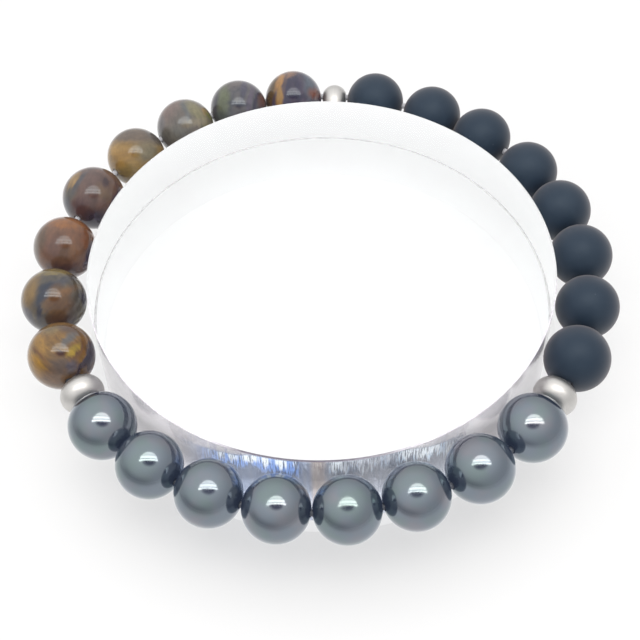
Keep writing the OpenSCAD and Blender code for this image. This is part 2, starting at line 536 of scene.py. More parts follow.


# Tiger eye: polished, banded with silky fibres. Each layer has where it shows, its half sizes, its turn in
# degrees from upright, colour and softness. Places and sizes are in bead radii, as the camera sees the bead
# Some layers are painted light, not stone: paler left rims, dark blue rims on the disc side and dark bars
# under the highlight, each marked where it stands
tigerLooks = [
    {"dark": (80, 76, 94), "light": (102, 93, 106), "fibre": 3, "grain": 0.18, "layers": [
        ((-0.2, 0.82), (0.18, 0.36), 70, (166, 130, 108), 0.6),
        ((-0.34, 0.2), (0.08, 0.7), 8, (112, 96, 96), 0.6),
        ((0.62, 0.25), (0.20, 0.6), -15, (118, 128, 140), 0.6),
        ((0.76, 0.1), (0.20, 0.20), 0, (146, 98, 82), 0.7),
        # Darker bar under the highlight: a painted reflection of the dark camera
        ((0.1, -0.05), (0.30, 0.12), 0, (68, 69, 86), 0.7),
        ((-0.80, 0.0), (0.15, 3), 6, (120, 99, 67), 0.4),
        ((-0.47, -0.05), (0.11, 0.5), -4, (190, 148, 88), 0.45),
        ((-0.5, 0.5), (0.12, 0.34), 20, (200, 150, 92), 0.5),
    ]},
    {"dark": (96, 96, 102), "light": (120, 117, 118), "fibre": 3, "grain": 0.18, "layers": [
        ((-0.15, 0.82), (0.25, 0.35), 80, (126, 118, 116), 0.6),
        ((-0.48, 0.0), (0.20, 0.75), 4, (126, 132, 104), 0.5),
        ((-0.6, -0.5), (0.4, 0.3), 0, (104, 110, 108), 0.6),
        ((0.22, 0.6), (0.10, 0.5), 8, (98, 96, 112), 0.6),
        ((0.46, 0.25), (0.09, 0.7), 6, (118, 110, 124), 0.6),
        ((0.64, 0.15), (0.05, 0.6), 8, (84, 80, 96), 0.6),
        ((0.86, 0.26), (0.12, 0.26), 8, (146, 108, 98), 0.8),
        # Darker bar under the highlight: a painted reflection of the dark camera
        ((0.05, -0.02), (0.35, 0.10), 0, (76, 79, 90), 0.7),
    ]},
    {"dark": (113, 110, 104), "light": (136, 127, 119), "fibre": -15, "grain": 0.18, "layers": [
        ((-0.5, 0.6), (0.30, 0.50), 40, (144, 125, 119), 0.7),
        # Paler left rim: a painted reflection of the bright room on the stone's edge
        ((-0.82, -0.02), (0.15, 0.4), 0, (134, 130, 130), 0.6),
        ((0.1, 0.5), (0.12, 0.40), -20, (118, 121, 121), 0.7),
        ((0.5, 0.4), (0.20, 0.6), -35, (156, 150, 118), 0.6),
        ((0.72, 0.52), (0.10, 0.16), -30, (184, 156, 116), 0.6),
        ((0.9, 0.33), (0.07, 0.25), -40, (136, 138, 88), 0.6),
        ((0.35, 0.03), (0.12, 0.4), 68, (158, 148, 128), 0.6),
        ((-0.3, -0.4), (0.70, 0.3), 0, (124, 122, 114), 0.6),
    ]},
    {"dark": (165, 132, 78), "light": (188, 151, 90), "fibre": 89, "grain": 0.15, "layers": [
        # Paler left rim: a painted reflection of the bright room on the stone's edge
        ((-0.78, -0.02), (0.26, 0.6), 0, (184, 154, 108), 0.7),
        ((-0.4, 0.12), (0.14, 0.6), 88, (188, 152, 96), 0.6),
        ((-0.38, -0.03), (0.12, 0.4), 84, (176, 139, 84), 0.6),
        ((-0.3, -0.26), (0.06, 0.4), 82, (172, 138, 88), 0.7),
        ((-0.2, -0.6), (0.26, 0.6), 75, (162, 141, 98), 0.6),
        ((0.04, 0.0), (0.05, 0.14), 8, (152, 119, 76), 0.7),
        ((0.5, 0.3), (0.24, 0.45), 75, (134, 126, 106), 0.7),
        ((0.5, -0.02), (0.18, 0.34), 60, (140, 134, 112), 0.7),
        ((0.1, 0.82), (0.42, 2.5), 88, (114, 106, 102), 0.35),
        ((0.75, 0.6), (0.14, 0.4), 130, (108, 104, 100), 0.6),
    ]},
    {"dark": (106, 86, 80), "light": (128, 104, 94), "fibre": 12, "grain": 0.20, "layers": [
        ((0.0, 0.62), (0.35, 0.5), 0, (121, 101, 95), 0.7),
        ((-0.3, -0.45), (0.30, 0.4), 0, (102, 78, 77), 0.7),
        # Dark blue patch at the bottom by the disc: painted shade and a painted reflection of the disc
        ((0.1, -0.78), (0.30, 0.25), 0, (74, 72, 86), 0.6),
        # Paler left rim: a painted reflection of the bright room on the stone's edge
        ((-0.82, -0.3), (0.20, 0.5), 10, (106, 110, 115), 0.6),
        ((-0.62, 0.08), (0.20, 0.2), 0, (114, 110, 100), 0.6),
        ((0.45, 0.12), (0.17, 0.3), -30, (122, 102, 84), 0.6),
        ((0.62, 0.4), (0.10, 0.3), -20, (120, 96, 82), 0.6),
        ((0.5, 0.45), (0.10, 0.13), 0, (82, 68, 70), 0.6),
        ((-0.34, 0.42), (0.09, 0.42), 28, (98, 99, 103), 0.6),
        ((-0.54, 0.5), (0.14, 0.34), 30, (174, 144, 100), 0.4),
        # Dark blue rim on the disc side: painted shade and a painted reflection of the disc
        ((0.68, -0.28), (0.10, 0.6), 30, (68, 70, 92), 0.5),
    ]},
    {"dark": (118, 90, 74), "light": (140, 106, 86), "fibre": 15, "grain": 0.15, "layers": [
        ((-0.2, 0.0), (0.30, 0.35), 0, (124, 95, 84), 0.7),
        ((0.4, -0.15), (0.20, 0.3), 0, (140, 105, 80), 0.7),
        ((0.42, 0.42), (0.20, 0.3), 0, (142, 104, 82), 0.7),
        ((0.12, -0.12), (0.10, 0.22), 32, (114, 86, 66), 0.6),
        ((0.15, 0.78), (0.14, 0.7), 98, (162, 112, 74), 0.6),
        ((0.74, 0.34), (0.10, 0.4), -10, (142, 98, 74), 0.6),
        ((-0.6, 0.3), (0.15, 0.4), 10, (116, 99, 84), 0.7),
        # Paler left rim: a painted reflection of the bright room on the stone's edge
        ((-0.84, 0.0), (0.13, 0.7), 0, (142, 132, 122), 0.6),
        ((0.1, -0.75), (0.25, 0.5), 90, (98, 78, 76), 0.6),
        # Dark blue rim on the disc side: painted shade and a painted reflection of the disc
        ((0.86, -0.25), (0.10, 0.5), 20, (62, 62, 84), 0.5),
    ]},
    {"dark": (102, 97, 90), "light": (124, 115, 100), "fibre": 40, "grain": 0.20, "layers": [
        ((-0.6, 0.3), (0.24, 0.5), 20, (160, 130, 84), 0.6),
        ((-0.7, -0.5), (0.20, 0.3), -30, (108, 107, 115), 0.6),
        ((0.1, 0.9), (0.12, 0.6), 88, (146, 130, 88), 0.5),
        ((0.32, 0.52), (0.13, 0.4), 60, (92, 92, 98), 0.6),
        ((0.24, -0.02), (0.46, 0.46), 20, (128, 98, 72), 0.4),
        ((0.46, 0.22), (0.12, 0.34), 60, (142, 108, 78), 0.7),
        ((0.2, -0.04), (0.17, 0.20), 30, (118, 89, 62), 0.7),
        ((0.25, -0.6), (0.20, 0.35), 80, (106, 82, 68), 0.6),
        ((-0.08, 0.42), (0.10, 0.28), 60, (68, 74, 88), 0.6),
        ((-0.2, 0.12), (0.13, 0.34), 45, (68, 76, 90), 0.6),
        ((-0.30, -0.34), (0.09, 0.28), -10, (74, 76, 88), 0.6),
        # Dark blue rim on the disc side: painted shade and a painted reflection of the disc
        ((1.03, 0.1), (0.10, 0.6), -4, (58, 58, 80), 0.5),
    ]},
    {"dark": (122, 94, 64), "light": (164, 128, 78), "fibre": -50, "grain": 0.32, "layers": [
        # Paler left rim: a painted reflection of the bright room on the stone's edge
        ((-0.82, 0.0), (0.15, 0.5), 0, (172, 144, 102), 0.7),
        ((-0.48, 0.38), (0.14, 0.34), -50, (178, 138, 76), 0.6),
        ((-0.6, -0.16), (0.16, 0.4), -50, (184, 142, 72), 0.6),
        ((-0.5, 0.08), (0.04, 0.34), -50, (134, 98, 60), 0.7),
        ((-0.1, -0.66), (0.26, 0.4), 90, (136, 109, 89), 0.7),
        ((-0.15, 0.78), (0.14, 0.3), 80, (142, 124, 92), 0.7),
        ((0.3, 0.78), (0.12, 0.34), 110, (108, 92, 84), 0.6),
        ((0.2, -0.3), (0.34, 0.26), 0, (112, 98, 92), 0.6),
        ((0.5, -0.3), (0.16, 0.2), 20, (102, 98, 108), 0.6),
        ((0.36, 0.5), (0.10, 0.24), 38, (116, 118, 120), 0.7),
        # Dark blue rim on the disc side: painted shade and a painted reflection of the disc
        ((0.72, -0.38), (0.08, 0.45), 30, (66, 66, 84), 0.6),
        # Darker bar under the highlight: a painted reflection of the dark camera
        ((0.2, 0.08), (0.18, 0.10), 0, (92, 76, 78), 0.7),
        ((0.56, 0.17), (0.20, 0.28), 28, (124, 88, 54), 0.5),
        ((0.50, 0.17), (0.13, 0.22), 34, (182, 154, 62), 0.5),
        # Dark blue rim on the disc side: painted shade and a painted reflection of the disc
        ((0.92, 0.05), (0.09, 0.75), 0, (58, 58, 82), 0.5),
    ]},
]


def seenAt(across, up):
    # The point of a ball of radius 1 that shows at that place
    depth = math.sqrt(max(0.0, 1 - across * across - up * up))
    return cameraRight * across + cameraUp * up + cameraBack * depth


def turned(degrees):
    # The direction in the picture's plane at that turn from upright, clockwise
    angle = math.radians(degrees)
    return cameraRight * math.sin(angle) + cameraUp * math.cos(angle)


tigerEyeLook = {
    "veil": 0.050,          # what the polish mirrors of the room, taken off a colour as it shows
    "bloom": (0.018, 0.015, 0.016, 1),      # painted glow: a faint emission that lifts the dark parts of the stone
    "share": 0.47,          # of the rest, the stone's own colour
    "least": 0.004,
    "warp": 0.30,           # how far the layers wander, in bead radii
    "wander": (1.6, 4.0),   # scale and detail of that
    "feather": 0.30,        # how far the fibres draw out their edges
    "layered": 0.86,        # how much a layer covers what is below it
    "scale": 7.5,           # of the fibres
    "stretch": 0.86,
    "broad": (0.35, 0.65),  # noise from the dark to the light of a bead
    "fine": (0.3, 0.7),     # and from a dark fibre to a light one
    "clouds": (4.5, 6.0, 0.68),     # scale, detail and roughness of small clouds in the stone
    "mottle": 0.14,         # how much they lighten and darken it
    "smears": 0.5,
    "clean": 0.11,
    "smeared": 0.20,
    "index": 1.54,
    "gloss": 0.44,
    "shine": (0.84, 0.93, 1, 1),
    "silk": (0.06, 0.01),   # strength, and height in mm
    # paler bore and mouth: the dull unpolished ring, and painted light that keeps the bore from showing dark
    "drilled": (150, 132, 110),
    "drilledReach": 0.9,    # mm
    "drilledShare": 0.5,
}


def tigerColour(colour):
    # The stone's own colour, from the colour that shows in the light
    veil, share, least = tigerEyeLook["veil"], tigerEyeLook["share"], tigerEyeLook["least"]
    return tuple(max(least, c - veil) * share for c in linear(*colour)[:3]) + (1,)


def tigerLayers(tree, place, colour, layers):
    for (across, up), (half, length), turn, tint, softness in layers:
        mask = addGroup(tree, layerGroup, {
            "Vector": place, "Centre": seenAt(across, up), "Across": turned(turn + 90) / half,
            "Along": turned(turn) / length, "Softness": softness,
        })["Mask"]
        colour = mixColour(tree, product(tree, mask, tigerEyeLook["layered"]), colour, tigerColour(tint))
    return colour


def tigerEye(name, axis, radius, seed, look):
    made, tree, shader, own = newMaterial(name)
    warp, grain, mottle = tigerEyeLook["warp"], look["grain"], tigerEyeLook["mottle"]
    unit = scaled(tree, own, 1 / radius)
    wander = noise(tree, unit, *tigerEyeLook["wander"], seed=seed)["Color"]
    centred = vectorMaths(tree, "SUBTRACT", wander, (0.5, 0.5, 0.5))
    bent = vectorMaths(tree, "MULTIPLY_ADD", centred, (warp, warp, warp), unit)
    silk = addGroup(tree, fibreGroup, {
        "Vector": bent, "Direction": turned(look["fibre"]), "Scale": tigerEyeLook["scale"],
        "Stretch": tigerEyeLook["stretch"], "Seed": seed,
    })
    drawnOut = product(tree, maths(tree, "SUBTRACT", silk["Fibre"], 0.5), tigerEyeLook["feather"])
    feathered = vectorMaths(tree, "ADD", bent, scaled(tree, turned(look["fibre"]), drawnOut))
    broad = eased(tree, silk["Broad"], *tigerEyeLook["broad"])
    plain = mixColour(tree, broad, tigerColour(look["dark"]), tigerColour(look["light"]))
    layered = tigerLayers(tree, feathered, plain, look["layers"])
    fibre = mapRange(tree, silk["Fibre"], *tigerEyeLook["fine"], 1 - grain, 1 + grain)
    clouds = noise(tree, bent, *tigerEyeLook["clouds"], seed)["Fac"]
    cloudy = mapRange(tree, clouds, *tigerEyeLook["broad"], 1 - mottle, 1 + mottle)
    lit = scaled(tree, layered, product(tree, fibre, cloudy))
    drill = drilled(tree, own, axis, tigerEyeLook["drilledReach"])
    worn = product(tree, drill, tigerEyeLook["drilledShare"])
    handling = handled(tree, own, tigerEyeLook, seed)
    setSockets(tree, shader, {
        "Base Color": mixColour(tree, worn, lit, tigerColour(tigerEyeLook["drilled"])),
        "Roughness": maths(tree, "MULTIPLY_ADD", drill, drillLook["rough"], handling["Roughness"]),
        "IOR": tigerEyeLook["index"],
        "Specular IOR Level": tigerEyeLook["gloss"],
        "Specular Tint": tigerEyeLook["shine"],
        # Painted glow: a faint emission lifts the dark parts of the stone, which is no lamp
        "Emission Color": tigerEyeLook["bloom"],
        "Emission Strength": 1.0,
        "Normal": bump(tree, silk["Fibre"], *tigerEyeLook["silk"]),
    })
    return made


def stringBeads(kind, slot, makeMaterial):
    for number in range(1, beadShape["run"] + 1):
        node = f"{kind}_bead_{number}"
        place, radius = middle(node), beadRadius(node)
        mesh = strungMesh(node, place, beadProfile(radius), beadShape["steps"])
        finish = makeMaterial(f"{kind} {number}", holeAxis(place), radius, number)
        addPiece(f"{kind}-stone-{number}", mesh, place, [finish], slot, node)
    print(f"{kind}: {beadShape['run']} beads strung")


# Seeds that set the beads of a run apart
seedSteps = {"tiger_eye": 7.3, "hematite": 3.1, "onyx": 5.7}

stringBeads("tiger_eye", "tiger_eye", lambda name, axis, radius, number: (
    tigerEye(name, axis, radius, number * seedSteps["tiger_eye"], tigerLooks[number - 1])
))
stringBeads("hematite", "hematite", lambda name, axis, radius, number: (
    hematite(name, axis, number * seedSteps["hematite"])
))
stringBeads("onyx", "matte_onyx", lambda name, axis, radius, number: (
    onyx(name, axis, number * seedSteps["onyx"])
))


# Satin steel spacers with a rounded rim
spacer = {
    "radius": 2.75,             # mm
    "halfWidth": 1.75,          # mm
    "hole": 1.6,                # radius, mm
    "edge": 0.12,               # rounding of the hole's mouths, mm
    "steps": 128,
    "rimSteps": 48,
    "edgeSteps": 5,
    "colour": (0.49, 0.48, 0.465),
    "smears": 0.7,
    "clean": 0.40,
    "smeared": 0.54,
    "turning": (9.0, 3.0),      # how close the marks of turning lie along the axis, and their detail
    "brushed": (12.0, 4.0),     # scale and detail of the finer grain
    "brushedShare": 0.5,
    "grained": (0.5, 1.0),      # grain at its darkest and lightest
    "tone": (0.94, 1.05),
    "grain": (0.15, 0.02),      # strength, and height in mm
}


def spacerProfile():
    rim, hole, edge = spacer["halfWidth"], spacer["hole"], spacer["edge"]
    centre = spacer["radius"] - rim
    last = math.degrees(math.acos((hole + edge - centre) / rim))
    mouthAt = rim * math.sin(math.radians(last))
    upper = arc((hole + edge, mouthAt - edge), edge, 90, 180, spacer["edgeSteps"])
    lower = arc((hole + edge, edge - mouthAt), edge, 180, 270, spacer["edgeSteps"])
    inside = [(hole, (mouthAt - edge) * share) for share in (0.5, 0, -0.5)]
    outside = arc((centre, 0), rim, -last, last, spacer["rimSteps"])
    return outside + upper[1:] + inside + lower[:-1]


def steel(name, axis, seed):
    made, tree, shader, own = newMaterial(name)
    close, detail = spacer["turning"]
    along = product(tree, vectorMaths(tree, "DOT_PRODUCT", own, axis), close)
    inputs = {"W": along, "Scale": 1.0, "Detail": detail}
    turning = addNode(tree, "ShaderNodeTexNoise", inputs, noise_dimensions="1D").outputs["Fac"]
    brushed = noise(tree, own, *spacer["brushed"])["Fac"]
    fine = maths(tree, "MULTIPLY_ADD", brushed, spacer["brushedShare"], turning)
    tone = mapRange(tree, fine, *spacer["grained"], *spacer["tone"])
    handling = handled(tree, own, spacer, seed)
    setSockets(tree, shader, {
        "Base Color": scaled(tree, spacer["colour"], tone),
        "Metallic": 1.0,
        "Roughness": handling["Roughness"],
        "Normal": bump(tree, fine, *spacer["grain"]),
    })
    return made


def turnSpacers():
    for number in range(1, 4):
        node = f"steel_spacer_{number}"
        place = middle(node)
        mesh = strungMesh(node, place, spacerProfile(), spacer["steps"])
        finish = steel(f"steel {number}", holeAxis(place), number)
        addPiece(f"steel-spacer-{number}", mesh, place, [finish], "satin_steel", node)
    print("spacers: 3 turned")


turnSpacers()


# Clear elastic thread
thread = {
    "radius": 0.4,              # mm
    "sides": 16,
    "mouth": 0.1,               # how deep inside a bead's outline its hole opens, mm
    "sharpOver": 60,            # degrees
    "milky": ((0.42, 0.42, 0.45, 1), (0.62, 0.62, 0.66, 1)),
    "strands": (5.0, 3.0),      # scale and detail
    # painted shade: the thread darker where it lies between the dark beads
    "threadShade": (0.10, 0.11, 0.14, 1),
    "threadShadeTowards": (0.35, -0.94, 0),      # the hematite in front and the onyx on the right
    "threadShadeFrom": (-12, 4),     # mm that way, from light to the painted dark
    "smears": 1.5,
    "clean": 0.4,
    "smeared": 0.55,
    "seed": 1,
    "index": 1.45,
    "clear": 0.3,
    "ripple": (0.2, 0.02),      # strength, and height in mm
}


def threadRoute():
    # Straight through each bead's hole, and straight from mouth to mouth between them
    route = []
    for kind in ("tiger_eye", "hematite", "onyx"):
        for number in range(1, beadShape["run"] + 1):
            node = f"{kind}_bead_{number}"
            place = middle(node)
            along = Vector(holeAxis(place)) * (beadRadius(node) - thread["mouth"]) * mm
            for share in (-1, -0.5, 0, 0.5, 1):
                route.append(place + along * share)
    return route


def threadMesh():
    build = bmesh.new()
    route = threadRoute()
    up = Vector((0, 0, 1))
    rings = []
    for number, point in enumerate(route):
        before, after = route[number - 1], route[(number + 1) % len(route)]
        outward = (after - before).normalized().cross(up)
        ring = []
        for side in range(thread["sides"]):
            angle = 2 * math.pi * side / thread["sides"]
            offset = outward * math.cos(angle) + up * math.sin(angle)
            ring.append(build.verts.new(point - ringCentre + offset * thread["radius"] * mm))
        rings.append(ring)
    for number, ring in enumerate(rings):
        bridge(build, ring, rings[(number + 1) % len(rings)])
    return finished("thread", build, thread["sharpOver"])


def elastic():
    made, tree, shader, own = newMaterial("clear elastic")
    handling = handled(tree, own, thread, thread["seed"])
    strands = noise(tree, own, *thread["strands"])["Fac"]
    milky = mixColour(tree, strands, *thread["milky"])
    # Painted shade: darker towards the hematite and onyx, where the thread lies in the dark gaps between
    # beads
    towards = vectorMaths(tree, "DOT_PRODUCT", own, thread["threadShadeTowards"])
    threadShade = eased(tree, towards, *thread["threadShadeFrom"])
    setSockets(tree, shader, {
        "Base Color": mixColour(tree, threadShade, milky, thread["threadShade"]),
        "Roughness": handling["Roughness"],
        "IOR": thread["index"],
        "Transmission Weight": thread["clear"],
        "Normal": bump(tree, strands, *thread["ripple"]),
    })
    return made


addPiece("elastic-thread-loop", threadMesh(), ringCentre, [elastic()], "clear_elastic", "elastic_thread")
print("thread: one closed loop")


# Clear disc that the bracelet is stretched round
discLow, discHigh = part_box("display_disc")
discHeight = (discHigh.z - discLow.z) / mm
discRadius = (discHigh.x - discLow.x) / 2 / mm
disc = {
    "chamfer": 0.15,            # mm
    "steps": 720,
    "sharpOver": 30,            # degrees
    "frontFrom": -3.5,          # mm, where the wall in front starts
    # Finishes of the lower chamfer, wall and upper chamfer, behind and in front
    "finishes": ((3, 3), (1, 2), (1, 3)),
    "index": 1.49,
    "clear": (0.978, 0.993, 0.997, 1),
    "dulled": (0.965, 0.97, 0.978, 1),      # under smears, which run from 0 to 1 here
    "smears": 0.12,
    "clean": 0,
    "smeared": 1,
    "seed": 4,
    "waves": (0.4, 2.0),        # scale and detail of the faint unevenness
    "faceRipple": 0.0005,       # its height, mm
    "wallRipple": 0.002,
    "passes": (0.95, 0.95, 0.95, 1),        # how much light from the lamps comes through
}


def discMesh():
    chamfer, steps = disc["chamfer"], disc["steps"]
    profile = [
        (discRadius - chamfer, 0), (discRadius, chamfer),
        (discRadius, discHeight - chamfer), (discRadius - chamfer, discHeight),
    ]
    build = bmesh.new()
    rings = []
    for away, up in profile:
        rings.append([
            build.verts.new((away * math.cos(angle) * mm, away * math.sin(angle) * mm, up * mm))
            for angle in (2 * math.pi * step / steps for step in range(steps))
        ])
    for number, finishes in enumerate(disc["finishes"]):
        for step, face in enumerate(bridge(build, rings[number], rings[number + 1])):
            middleAt = discRadius * math.sin(2 * math.pi * (step + 0.5) / steps)
            face.material_index = finishes[middleAt < disc["frontFrom"]]
    for ring, up in ((rings[0], 0), (rings[-1], discHeight)):
        centre = build.verts.new((0, 0, up * mm))
        for step in range(steps):
            build.faces.new((centre, ring[step], ring[(step + 1) % steps]))
    return finished("disc", build, disc["sharpOver"])


def acrylicPasses(tree, shader, colour):
    # Light from the lamps passes straight through
    path = addNode(tree, "ShaderNodeLightPath")
    clear = addNode(tree, "ShaderNodeBsdfTransparent", {"Color": colour})
    mixed = addNode(tree, "ShaderNodeMixShader", {
        0: path.outputs["Is Shadow Ray"], 1: shader.outputs["BSDF"], 2: clear.outputs["BSDF"],
    })
    setSockets(tree, tree.nodes["Material Output"], {"Surface": mixed.outputs["Shader"]})


def acrylicClear(name, ripple):
    made, tree, shader, own = newMaterial(name)
    smears = handled(tree, own, disc, disc["seed"])["Roughness"]
    waves = noise(tree, own, *disc["waves"])["Fac"]
    setSockets(tree, shader, {
        "Base Color": mixColour(tree, smears, disc["clear"], disc["dulled"]),
        "Roughness": 0.0,
        "IOR": disc["index"],
        "Transmission Weight": 1.0,
        "Normal": bump(tree, waves, 1.0, ripple),
    })
    acrylicPasses(tree, shader, disc["passes"])
    return made


discFront = {
    "clear": 0.79,                 # a little milky where it is seen from outside
    "starts": (-3.5, -10),         # mm, from where it is as clear as the wall behind to where it is all milky
    "colour": (0.96, 0.905, 0.975, 1),
    "rough": (0.19, 0.16),         # on the left and right, and in the middle
    "passes": (0.6, 0.62, 0.68, 1),
    "side": (0.70, 0.66, 0.79, 1),          # shade under the edge on the left and right
    "sideFrom": (23, 25.5),        # mm aside, where that shade starts
    "sideTo": (28.4, 29.3),        # and where it ends
    "sideDeep": (0.4, 1.5),        # mm under the edge
    "arc": (-15.5, 16),            # mm, the stretch of the wall where the colours of the beads and the glowing marks are painted in
    "arcSoft": 3,                  # mm
    "marks": (                     # across the front, mm and strength
        (-15.5, 0), (-13.4, 0.45), (-9.6, 1), (-3.6, 1), (-2.8, 0.05), (0.2, 0.05), (0.6, 0.55),
        (1.6, 0.55), (2.2, 0.24), (7.8, 0.24), (8.8, 0.62), (12.4, 0.62), (15.5, 0),
    ),
    "plain": (                     # across the front, mm and how deep the band without marks is, mm
        (-20, 2.8), (-18, 2.5), (-15, 2), (-13, 1.5), (-10, 0.8), (-8.5, 0), (9, 0), (12, 1.2),
        (15, 1.9), (18, 3), (20, 3),
    ),
    "plainEnds": (-0.2, 0.4),      # mm, the soft lower end of that band
    "under": (0.1, 0.5),           # mm below that band or the edge, where the marks start
    "saw": (6.6, 3.0, 0.6),        # scale, detail and roughness of the marks
    "stretch": 0.06,               # share of that scale along the wall's height
    "crowd": 0.085,                # how much closer strong marks stand
    "marked": (0.47, 0.57),        # noise beside a mark and on it
    "scored": (0.74, 1.26),        # how the marks darken and lighten the wall over its whole height
    "scoredFrom": (0.4, 0.6),      # noise where they do each
    "depth": 0.10,                 # mm
    "lengths": (1.3, 3.0),         # scale and detail of how far the bright saw marks hang down
    "lengthFrom": (0.35, 0.65),    # noise at the shortest and longest
    "reach": (2.0, 4.2),           # mm, how far those hang down
    "ends": (0.7, 1.05),           # share of that, where they fade
    "glow": 0.62,                  # painted glow along the marks, standing for light that the disc leads out through them
    "haze": (0.08, 0.035),         # and painted glow above and between them
    "blue": (0.42, 0.56, 0.95, 1),
    "blueMark": (0.19, 0.33, 0.74, 1),
    "bluest": (-10.5, -7.5, -0.09, 0),      # mm across the front, where the marks at the left end turn paler
    "blueTo": (-4, 1),             # mm across the front, where blue gives way to mauve
    "mauve": (0.56, 0.62, 0.80, 1),
    "mauveMark": (0.62, 0.78, 0.96, 1),
    "pale": (0.86, 0.94, 1, 1),
    "palest": (0.35, 0.85, 0.10, -0.05),    # along a mark, more at its top
    "tints": (0.9, 3.0),           # scale and detail
    "paleFrom": (0.48, 0.6),
    "brown": (0.72, 0.58, 0.55, 1),
    "brownAt": (-0.9, 0.8),        # mm, its middle and half its width
    "brownSoft": (0.5, 1.5),       # share of that half, from all brown to none
}


def sawMarks(tree, lines, lengths, strong, deep):
    # How bright each spot of the wall is, as a painted glow along the saw marks, and how far down its mark it
    # lies
    reach = mapRange(tree, lengths, *discFront["lengthFrom"], *discFront["reach"])
    hanging = maths(tree, "DIVIDE", deep, reach)
    starts = eased(tree, deep, *discFront["under"])
    upper = product(tree, starts, eased(tree, hanging, *discFront["ends"], 1, 0))
    crowded = maths(tree, "MULTIPLY_ADD", strong, discFront["crowd"], lines)
    mark = eased(tree, crowded, *discFront["marked"])
    return product(tree, mark, upper, strong), hanging


def markColours(tree, across, tints, hanging):
    # The painted colours of the marks and of the wall between them, reflections caught from the beads, blue
    # on the left and mauve on the right
    top = mapRange(tree, hanging, *discFront["palest"])
    farLeft = mapRange(tree, across, *discFront["bluest"])
    paler = maths(tree, "ADD", maths(tree, "ADD", tints, top), farLeft)
    white = eased(tree, paler, *discFront["paleFrom"])
    left = eased(tree, across, *discFront["blueTo"], 1, 0)
    marked = mixColour(tree, left, discFront["mauveMark"], discFront["blueMark"])
    between = mixColour(tree, left, discFront["mauve"], discFront["blue"])
    return mixColour(tree, white, marked, discFront["pale"]), between


def sideShade(tree, across, fromTop):
    aside = maths(tree, "ABSOLUTE", across)
    starts = eased(tree, aside, *discFront["sideFrom"])
    ends = eased(tree, aside, *discFront["sideTo"], 1, 0)
    return product(tree, starts, ends, eased(tree, fromTop, *discFront["sideDeep"], 1, 0))


def acrylicFront():
    # The wall in front: upright saw marks with a painted glow, brightest under the upper edge, and colours
    # caught from the beads, painted in as reflections
    made, tree, shader, own = newMaterial("clear acrylic front")
    parts = separate(tree, own)
    across = parts["X"]
    fromTop = maths(tree, "SUBTRACT", discHeight, parts["Z"])
    level = vectorMaths(tree, "MULTIPLY", own, (1, 1, 0))
    drawn = vectorMaths(tree, "MULTIPLY", own, (1, 1, discFront["stretch"]))
    lines = noise(tree, drawn, *discFront["saw"])["Fac"]
    lengths = noise(tree, level, *discFront["lengths"])["Fac"]
    tints = noise(tree, level, *discFront["tints"])["Fac"]

    (start, end), soft = discFront["arc"], discFront["arcSoft"]
    starts = eased(tree, across, start - soft, start + soft)
    front = product(tree, starts, eased(tree, across, end - soft, end + soft, 1, 0))
    strong = followTable(tree, across, discFront["marks"])
    deep = maths(tree, "SUBTRACT", fromTop, followTable(tree, across, discFront["plain"]))
    below = eased(tree, deep, *discFront["plainEnds"])
    touched = product(tree, front, below)
    bright, hanging = sawMarks(tree, lines, lengths, strong, deep)
    shown, between = markColours(tree, across, tints, hanging)

    ahead = eased(tree, parts["Y"], *discFront["starts"])
    milky = mixColour(tree, ahead, disc["clear"], discFront["colour"])
    tinted = mixColour(tree, touched, milky, between)
    spot, half = discFront["brownAt"]
    brownFrom, brownTo = (half * share for share in discFront["brownSoft"])
    off = maths(tree, "ABSOLUTE", maths(tree, "SUBTRACT", across, spot))
    patched = mixColour(tree, eased(tree, off, brownFrom, brownTo, 1, 0), tinted, discFront["brown"])
    shaded = mixColour(tree, sideShade(tree, across, fromTop), patched, discFront["side"])
    scoring = mapRange(tree, lines, *discFront["scoredFrom"], *discFront["scored"])
    walled = scaled(tree, shaded, mapRange(tree, touched, 0, 1, 1, scoring))
    haze = mapRange(tree, below, 0, 1, *discFront["haze"])
    paintedGlow = maths(tree, "MULTIPLY_ADD", bright, discFront["glow"], haze)
    setSockets(tree, shader, {
        "Base Color": mixColour(tree, bright, walled, shown),
        "Roughness": product(tree, mapRange(tree, front, 0, 1, *discFront["rough"]), ahead),
        "IOR": disc["index"],
        "Transmission Weight": discFront["clear"],
        # Painted glow along the saw marks; the disc is no lamp
        "Emission Color": shown,
        "Emission Strength": product(tree, paintedGlow, front),
        "Normal": bump(tree, product(tree, lines, front), 1.0, discFront["depth"]),
    })
    acrylicPasses(tree, shader, discFront["passes"])
    return made


discEdge = {
    # painted reflection of the hematite: dark in the front chamfer
    "front": (0.10, 0.085, 0.12, 1),
    "side": (0.80, 0.76, 0.84, 1),
    "back": (0.70, 0.70, 0.71, 1),
    "backFrom": (-10, 2),          # mm from the middle
    "clear": 0.42,
    "dark": ((-13, 0), (-9.5, 1), (1.5, 1), (7, 0.75), (11, 0)),    # across the front, mm and share of the painted dark reflection
    "nicks": (2.5, 4.0),           # scale and detail
    "nicked": (0.35, 0.65),        # noise at the darkest and lightest tone
    "tone": (0.8, 1.2),
    "roughFrom": (0.3, 0.7),       # noise at the smoothest and roughest
    "rough": (0.35, 0.5),
    "ripple": (0.2, 0.01),         # strength, and height in mm
    "passes": (0.8, 0.8, 0.82, 1),
}


